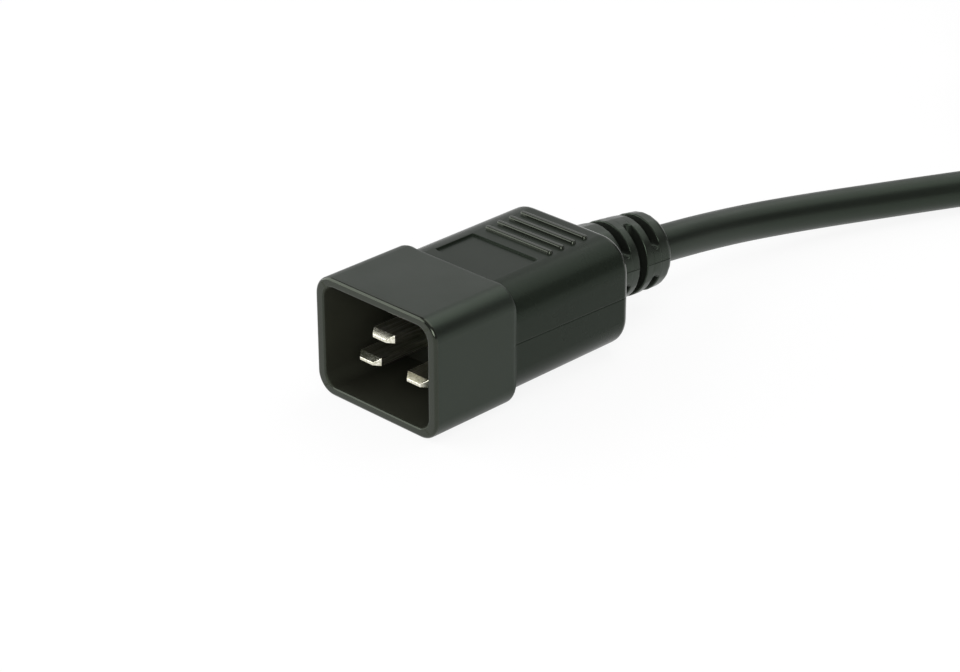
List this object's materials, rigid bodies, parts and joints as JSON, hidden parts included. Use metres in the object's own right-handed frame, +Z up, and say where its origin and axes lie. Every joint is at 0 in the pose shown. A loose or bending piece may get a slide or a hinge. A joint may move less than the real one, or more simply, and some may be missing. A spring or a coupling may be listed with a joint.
{
  "type": "power plug lead",
  "caption": "Moulded power inlet plug with a shrouded set of flat pins, a ribbed grip and a slotted strain relief, on a round cord, folded into a tied hank, that ends in the matching socket.",
  "frame": {"origin": "Under the middle of the plug's bounding box, without the cord and the socket, on the surface that the plug rests on.", "axes": "+X is the plug's width, its mouth faces -Y and its cord leaves towards +Y, and +Z is up."},
  "size_m": [0.0735, 0.3782, 0.0336],
  "materials": {
    "housing": "satin black soft plastic",
    "carrier": "matt black rigid plastic",
    "jacket": "satin black soft plastic",
    "strap": "woven black",
    "nickel": "nickel plated",
    "copper": "bare copper strands",
    "core_brown": "satin",
    "core_blue": "satin",
    "core_green": "satin"
  },
  "bodies": {
    "root": {"plug_housing": "housing", "plug_pin_carrier": "carrier", "plug_line_pin": "nickel", "plug_neutral_pin": "nickel", "plug_earth_pin": "nickel", "plug_line_core": "core_brown", "plug_neutral_core": "core_blue", "plug_earth_core": "core_green", "plug_line_strands": "copper", "plug_neutral_strands": "copper", "plug_earth_strands": "copper", "cord_run": "jacket", "cord_hank": "jacket", "cord_tie": "strap", "cord_tail": "jacket", "socket_housing": "housing", "socket_contact_carrier": "carrier", "socket_line_contact": "nickel", "socket_neutral_contact": "nickel", "socket_earth_contact": "nickel", "socket_line_core": "core_brown", "socket_neutral_core": "core_blue", "socket_earth_core": "core_green", "socket_line_strands": "copper", "socket_neutral_strands": "copper", "socket_earth_strands": "copper"}
  },
  "joints": []
}
